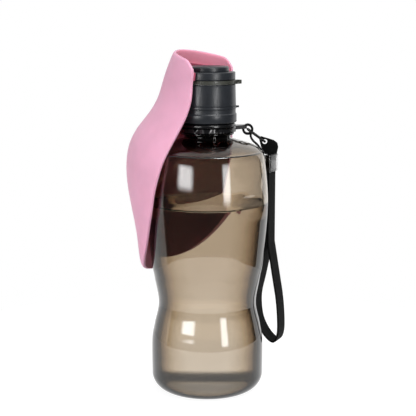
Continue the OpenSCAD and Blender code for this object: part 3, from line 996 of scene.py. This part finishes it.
class BOTTLE_OT_trough(bpy.types.Operator):
    """Presses the drinking trough and the stiff yoke inside its top"""

    bl_idname = "water_bottle.trough"
    bl_label = "Trough"

    def execute(self, context):
        sizes = context.scene.trough_sizes
        upper = mm(context.scene.bottle_sizes.upper_radius)
        fine = spline(SECTIONS, 2)
        shell = curved_wall("trough_silicone", len(fine), WALL_COLUMNS, lambda i, a: fine[i], 0,
                            mm(sizes.wall), upper)
        subdivided(shell, 2)
        shade(shell, math.radians(180))
        silicone = material_of("matt_silicone", matt_silicone, "matt_silicone", sizes.silicone)
        skins = [face.material_index for face in shell.data.polygons]
        finish_piece(shell, silicone, "trough", "pink_silicone", "trough_shell")
        # The inner faces take the deeper pink, painted shade for the shade inside the trough.
        shell.data.materials.append(
            material_of("deep_silicone", matt_silicone, "deep_silicone", sizes.inside))
        shell.data.polygons.foreach_set("material_index", skins)

        def yoke_section(i, a):
            top = YOKE_ARM / 2 + YOKE_TOP_RISE * math.sin(a)
            low = -YOKE_ARM / 2 + YOKE_LOW_RISE * math.sin(a)
            z = top + (low - top) * i / (YOKE_ROWS - 1)
            table = z if z <= STRAIGHT_TOP else STRAIGHT_TOP + (z - STRAIGHT_TOP) / stretch(a)
            found = list(section_at(fine, table))
            found[0] = table
            return found

        yoke = curved_wall("yoke_collar", YOKE_ROWS, WALL_COLUMNS, yoke_section, YOKE_INNER,
                           YOKE_OUTER, upper)
        round_edges(yoke, 0.35 * MM, 3, math.radians(40))
        shade(yoke)
        rose = material_of("shaded_rose_plastic", shaded_rose_plastic, sizes)
        finish_piece(yoke, rose, "trough", "rose_plastic", "trough_yoke")
        return {"FINISHED"}


# ---- Strap ----

LUG_TURN = math.radians(35)
STRAP_TURN = math.radians(10)
STRAP_AT = (31.3, 33.6)
STRAP_TOP = 156.1
# The tape's middle line down one side of the loop and up the other, in the strap's own frame.
LOOP = [
    (-0.7, -60), (-2, -68), (-5.3, -84), (-8.3, -98), (-7.4, -112), (-3.3, -121.5), (2.2, -127.5),
    (6.2, -128), (8.5, -122), (8.5, -111), (7.3, -98), (4.9, -84), (2.1, -68), (0.7, -60),
]


def tape_line(thickness):
    side = thickness / 2 + 0.02
    down = [(-side, -6.0 * k) for k in range(9)]
    up = [(side, -6.0 * k) for k in range(8, -1, -1)]
    return down + spline(LOOP, 5) + up


# Radius of a strand of the cord, and how far it winds out from the cord's middle.
STRAND = 0.44
STRAND_LAY = 0.38
# The slack leg of the cord, from the ring's eye to the foot of the tab.
SLACK = [
    (29.2, 14.3, 170.8), (29, 14.2, 168.2), (30.6, 14, 165.4), (33.4, 14, 162.8), (36, 14.4, 159.4),
    (37.8, 15.2, 156.9),
]


def swept(path, ups, points, faces, closed, turns, phase, sides=8):
    """Adds a strand of the cord, which winds round a path that many times."""
    first, parts, count = len(points), 4, len(path)
    rings = count * parts if closed else (count - 1) * parts + 1
    for i in range(rings):
        place, step = divmod(i, parts)
        ahead = (place + 1) % count if closed else min(place + 1, count - 1)
        behind = place - 1 if closed else max(place - 1, 0)
        here = path[place].lerp(path[ahead], step / parts)
        tangent = (path[ahead] - path[behind]).normalized()
        across = ups[place].cross(tangent).normalized()
        up = tangent.cross(across)
        wind = 2 * math.pi * (turns * i / rings + phase)
        middle = here + STRAND_LAY * (across * math.cos(wind) + up * math.sin(wind))
        for j in range(sides):
            a = 2 * math.pi * j / sides
            points.append(tuple(middle + STRAND * (across * math.cos(a) + up * math.sin(a))))
    made = [range(first + i * sides, first + (i + 1) * sides) for i in range(rings)]
    for low, high in zip(made, made[1:] + made[:1] if closed else made[1:]):
        ring_band(faces, low, high)
    if not closed:
        faces += [tuple(made[0]), tuple(made[-1])]


class BOTTLE_OT_strap(bpy.types.Operator):
    """Weaves the tape, rounds the tab's edges, and hangs them on the corded eye in a clear sleeve"""

    bl_idname = "water_bottle.strap"
    bl_label = "Wrist strap"

    def execute(self, context):
        sizes = context.scene.strap_sizes
        nylon = material_of("woven_nylon", woven_nylon, sizes)
        tape = self.tape(sizes)
        finish_piece(tape, nylon, "strap", "black_webbing", "wrist_strap")
        tab = dressed_copy("strap_tab", "stitched_tab", 0.55 * MM, 4)
        self.map_flat(tab, LUG_TURN)
        finish_piece(tab, nylon, "strap", "black_webbing", "strap_tab")
        waxed = material_of("waxed_cord", glossy_plastic, "waxed_cord", linear("#0B0B0C"), 0.24)
        finish_piece(self.cord(), waxed, "strap", "black_webbing", "strap_cord")
        sleeve = dressed_copy("strap_sleeve", "clear_sleeve", 0.35 * MM, 3)
        finish_piece(sleeve, material_of("clear_vinyl", clear_vinyl), "strap", "clear_vinyl",
                     "strap_sleeve")
        return {"FINISHED"}

    def tape(self, sizes):
        """A woven tape with soft edges."""
        width, thickness = mm(sizes.tape_width), mm(sizes.tape_thickness)
        line = tape_line(thickness)
        half, soft = width / 2, thickness / 2
        ring = [(-half + 0.4, -soft), (-half + 0.1, -soft * 0.6), (-half, 0), (-half + 0.1, soft * 0.6),
                (-half + 0.4, soft)]
        ring = ring + [(x, soft) for x in (-half / 2, 0, half / 2)]
        ring = ring + [(-x, -z) for x, z in ring]
        points, faces, run = [], [], 0
        maps = []
        count = len(ring)
        for i, (x, z) in enumerate(line):
            ahead, behind = line[min(i + 1, len(line) - 1)], line[max(i - 1, 0)]
            along = Vector((ahead[0] - behind[0], 0, ahead[1] - behind[1])).normalized()
            off = Vector((-along.z, 0, along.x))
            if i:
                run += math.dist(line[i - 1], line[i])
            for across, depth in ring:
                spot = Vector((x, across, z)) + off * depth
                spot = Matrix.Rotation(STRAP_TURN, 3, "Z") @ (
                    spot + Vector((STRAP_AT[0], STRAP_AT[1], STRAP_TOP)))
                points.append(tuple(spot))
                maps.append((across + half, run))
        made = [range(i * count, (i + 1) * count) for i in range(len(line))]
        for low, high in zip(made, made[1:]):
            ring_band(faces, low, high)
        faces += [tuple(made[0])[::-1], tuple(made[-1])]
        piece = piece_from("woven_tape", points, faces)
        layer = piece.data.uv_layers.new(name="tape")
        for loop in piece.data.loops:
            layer.data[loop.index].uv = maps[loop.vertex_index]
        outward(piece)
        return piece

    def map_flat(self, piece, turn):
        """A UV map in millimetres over the piece's face, which is turned by that much."""
        layer = piece.data.uv_layers.new(name="tape")
        back = Matrix.Rotation(-turn, 4, "Z")
        for loop in piece.data.loops:
            spot = back @ piece.data.vertices[loop.vertex_index].co
            layer.data[loop.index].uv = (mm(spot.x), mm(spot.z))

    def cord(self):
        """A three-strand cord: a closed loop through both eyes, and a slack leg beside it."""
        start, end = Vector((27, 17.2, 172.9)), Vector((38.5, 17.2, 164.5))
        along = (end - start).normalized()
        side = Vector((0, 1, 0))
        bend = 2.9
        straight = (end - start).length - 2 * bend
        path = []
        for far, way in ((0, 1), (1, -1)):
            for k in range(13):
                a = math.pi * k / 12
                path.append(start + along * (bend + far * straight - way * bend * math.sin(a))
                            + side * way * bend * math.cos(a))
            for k in range(1, 10):
                run = 1 - k / 10 if far else k / 10
                path.append(start + along * (bend + straight * run) - side * way * bend)
        slack = [Vector(p) for p in spline(SLACK, 4)]
        points, faces = [], []
        for strand in range(3):
            phase = strand / 3
            swept(path, [side.cross(along)] * len(path), points, faces, True, 9, phase)
            swept(slack, [side] * len(slack), points, faces, False, 5, phase)
        piece = piece_from("laid_cord", points, faces, LUG_TURN)
        outward(piece)
        self.map_flat(piece, 0)
        return piece


# ---- Studio ----

# The camera's film width in millimetres, and its lens and side shift in pixels of a square frame.
SENSOR = 36
FRAME_PIXELS = 416
FOCAL_PIXELS = 1106
SHIFT_PIXELS = 0.7
FLOOR_REACH = 0.26
AIM_HEIGHT = 0.12
# Brightness of the world as a fill light, of the dark cloth and of what scattered light meets, and of
# the floor's own glow, with the glow's share over the paper.
FILL = 0.5
DARK = 0.07
FLOOR_GLOW = 1.16
GLOW_SHARE = 0.8


class BOTTLE_OT_studio(bpy.types.Operator):
    """Sets the floor, the soft boxes, the surroundings and the camera"""

    bl_idname = "water_bottle.studio"
    bl_label = "Studio"

    def execute(self, context):
        settings = context.scene.studio_settings
        scene = context.scene
        towards = Vector((math.sin(settings.turn), -math.cos(settings.turn), 0))
        right = Vector((math.cos(settings.turn), math.sin(settings.turn), 0))

        camera = linked("camera", bpy.data.cameras.new("camera"))
        camera.data.sensor_width = SENSOR
        camera.data.sensor_fit = "HORIZONTAL"
        camera.data.lens = SENSOR * FOCAL_PIXELS / FRAME_PIXELS
        camera.data.shift_x = SHIFT_PIXELS / FRAME_PIXELS
        camera.location = towards * settings.distance + Vector((0, 0, settings.height))
        look = -towards * math.cos(settings.pitch) - Vector((0, 0, math.sin(settings.pitch)))
        camera.rotation_euler = look.to_track_quat("-Z", "Y").to_euler()
        scene.camera = camera

        floor_mesh = bpy.data.meshes.new("floor")
        sides = 96
        turns = [2 * math.pi * k / sides for k in range(sides)]
        rim = [(FLOOR_REACH * math.cos(a), FLOOR_REACH * math.sin(a), 0) for a in turns]
        floor_mesh.from_pydata(rim, [], [tuple(range(sides))])
        floor = linked("floor", floor_mesh)
        floor.data.materials.append(self.floor_paper(settings))

        # (name, turn from the camera, height, width, length, distance, watts): the left box is
        # broad and low, the right one narrow and tall, and the top one lights the trough's inside.
        for name, turn, height, width, tall, away, watts in (
            ("left_box", -42, 0.205, 0.62, 0.2, 0.9, 3.2),
            ("right_box", 36, 0.17, 0.3, 0.34, 0.9, 2.3),
            ("top_box", 38, 1.0, 0.6, 0.6, 0.6, 9.0),
        ):
            side = math.radians(turn)
            lamp = bpy.data.lights.new(name, "AREA")
            lamp.shape = "RECTANGLE"
            lamp.size, lamp.size_y = width, tall
            lamp.energy = watts
            self.soft_front(lamp)
            box = linked(name, lamp)
            box.visible_transmission = False
            out = towards * math.cos(side) + right * math.sin(side)
            box.location = out * away + Vector((0, 0, height))
            aim = Vector((0, 0, AIM_HEIGHT)) - box.location
            box.rotation_euler = aim.to_track_quat("-Z", "Y").to_euler()
        self.dark_booth(settings)

        world = bpy.data.worlds.new("studio")
        scene.world = world
        tree = empty_tree(world)
        seen, left = self.background_rays(tree)
        white = add(tree, "ShaderNodeMapRange", {"To Min": DARK, "To Max": 1.0},
                    {"Value": left.outputs[0]})
        level = add(tree, "ShaderNodeMix", {2: FILL}, {0: seen.outputs[0], 3: white.outputs[0]},
                    data_type="FLOAT")
        glow = add(tree, "ShaderNodeBackground", {"Color": (1, 1, 1, 1)},
                   {"Strength": level.outputs[0]})
        add(tree, "ShaderNodeOutputWorld", links={"Surface": glow.outputs[0]})
        scene.view_settings.view_transform = "Standard"
        return {"FINISHED"}

    def background_rays(self, tree):
        """One where a ray should meet the white background, seen directly, in gloss or in glass, and
        how much of it is left: none once light was scattered, so that it lights nothing."""
        rays = add(tree, "ShaderNodeLightPath")
        direct = add(tree, "ShaderNodeMath", operation="MAXIMUM", links={
            0: rays.outputs["Is Camera Ray"], 1: rays.outputs["Is Transmission Ray"]})
        seen = add(tree, "ShaderNodeMath", operation="MAXIMUM", links={
            0: direct.outputs[0], 1: rays.outputs["Is Glossy Ray"]})
        left = add(tree, "ShaderNodeMath", {1: 0.5}, {0: rays.outputs["Diffuse Depth"]},
                   operation="LESS_THAN")
        return seen, left

    def dark_booth(self, settings):
        """The black cloth that hangs round the near side of the table, away from the white
        backdrop. It keeps glare off the glass, and shows in reflections only, also in those that
        come back through the glass."""
        sides, reach, half, low, high = 60, 1.6, math.radians(105), -1.4, 1.8
        middle = settings.turn - math.pi / 2 + math.radians(15)
        turns = [middle + half * (2 * j / sides - 1) for j in range(sides + 1)]
        points = [(reach * math.cos(a), reach * math.sin(a), z) for z in (low, high) for a in turns]
        faces = [(j, j + 1, sides + 2 + j, sides + 1 + j) for j in range(sides)]
        mesh = bpy.data.meshes.new("dark_booth")
        mesh.from_pydata(points, [], faces)
        booth = linked("dark_booth", mesh)
        booth.visible_camera = booth.visible_diffuse = booth.visible_shadow = False
        material = bpy.data.materials.new("black_cloth")
        tree = empty_tree(material)
        rays = add(tree, "ShaderNodeLightPath")
        reflected = add(tree, "ShaderNodeMath", {1: 0.5}, {0: rays.outputs["Glossy Depth"]},
                        operation="GREATER_THAN")
        clear = add(tree, "ShaderNodeBsdfTransparent")
        dim = add(tree, "ShaderNodeEmission", {"Color": (1, 1, 1, 1), "Strength": DARK})
        cloth = add(tree, "ShaderNodeMixShader", links={
            0: reflected.outputs[0], 1: clear.outputs[0], 2: dim.outputs[0]})
        add(tree, "ShaderNodeOutputMaterial", links={"Surface": cloth.outputs[0]})
        mesh.materials.append(material)

    def soft_front(self, lamp):
        """A soft box's cloth: full light in the middle, falling off towards its edges."""
        tree = empty_tree(lamp)
        place = add(tree, "ShaderNodeNewGeometry")
        axes = add(tree, "ShaderNodeSeparateXYZ", links={"Vector": place.outputs["Parametric"]})
        falls = []
        for axis in ("X", "Y"):
            middle = add(tree, "ShaderNodeMath", {1: 0.5}, {0: axes.outputs[axis]},
                         operation="SUBTRACT")
            off = add(tree, "ShaderNodeMath", links={0: middle.outputs[0]}, operation="ABSOLUTE")
            falls.append(add(tree, "ShaderNodeMapRange",
                             {"From Min": 0.5, "From Max": 0.2, "To Min": 0.0, "To Max": 1.3},
                             {"Value": off.outputs[0]}, interpolation_type="SMOOTHSTEP"))
        level = add(tree, "ShaderNodeMath", links={0: falls[0].outputs[0], 1: falls[1].outputs[0]},
                    operation="MULTIPLY")
        glow = add(tree, "ShaderNodeEmission", links={"Strength": level.outputs[0]})
        add(tree, "ShaderNodeOutputLight", links={"Surface": glow.outputs[0]})

    def floor_paper(self, settings):
        """White background paper that shows as white and keeps the object's shadow."""
        material = bpy.data.materials.new("studio_paper")
        tree = empty_tree(material)
        paper = add(tree, "ShaderNodeBsdfDiffuse", {"Color": opaque(settings.floor)})
        glow = add(tree, "ShaderNodeEmission", {"Color": (1, 1, 1, 1), "Strength": FLOOR_GLOW})
        seen, left = self.background_rays(tree)
        white = add(tree, "ShaderNodeMath", links={0: seen.outputs[0], 1: left.outputs[0]},
                    operation="MULTIPLY")
        share = add(tree, "ShaderNodeMath", {1: GLOW_SHARE}, {0: white.outputs[0]}, operation="MULTIPLY")
        both = add(tree, "ShaderNodeMixShader", links={0: share.outputs[0], 1: paper.outputs[0],
                                                       2: glow.outputs[0]})
        add(tree, "ShaderNodeOutputMaterial", links={"Surface": both.outputs[0]})
        return material


# ---- The add-on ----

OPERATORS = (
    BOTTLE_OT_studio,
    BOTTLE_OT_body,
    BOTTLE_OT_water,
    BOTTLE_OT_threads,
    BOTTLE_OT_cap,
    BOTTLE_OT_valve,
    BOTTLE_OT_neck_rings,
    BOTTLE_OT_trough,
    BOTTLE_OT_strap,
)


class BOTTLE_PT_panel(bpy.types.Panel):
    """Lists the pieces and their sizes"""

    bl_idname = "BOTTLE_PT_panel"
    bl_label = "Water bottle"
    bl_space_type = "VIEW_3D"
    bl_region_type = "UI"
    bl_category = "Water bottle"

    def draw(self, context):
        for group, kind in GROUPS.items():
            box = self.layout.box()
            box.label(text=kind.__doc__)
            for key in kind.__annotations__:
                box.prop(getattr(context.scene, group), key)
        for operator in OPERATORS:
            self.layout.operator(operator.bl_idname)


def register():
    for kind in (*GROUPS.values(), *OPERATORS, BOTTLE_PT_panel):
        bpy.utils.register_class(kind)
    for name, kind in GROUPS.items():
        setattr(bpy.types.Scene, name, bpy.props.PointerProperty(type=kind))


def unregister():
    for name in GROUPS:
        delattr(bpy.types.Scene, name)
    for kind in reversed((*GROUPS.values(), *OPERATORS, BOTTLE_PT_panel)):
        bpy.utils.unregister_class(kind)


def build_bottle():
    register()
    for operator in OPERATORS:
        group, name = operator.bl_idname.split(".")
        getattr(getattr(bpy.ops, group), name)()


if __name__ == "__main__":
    build_bottle()
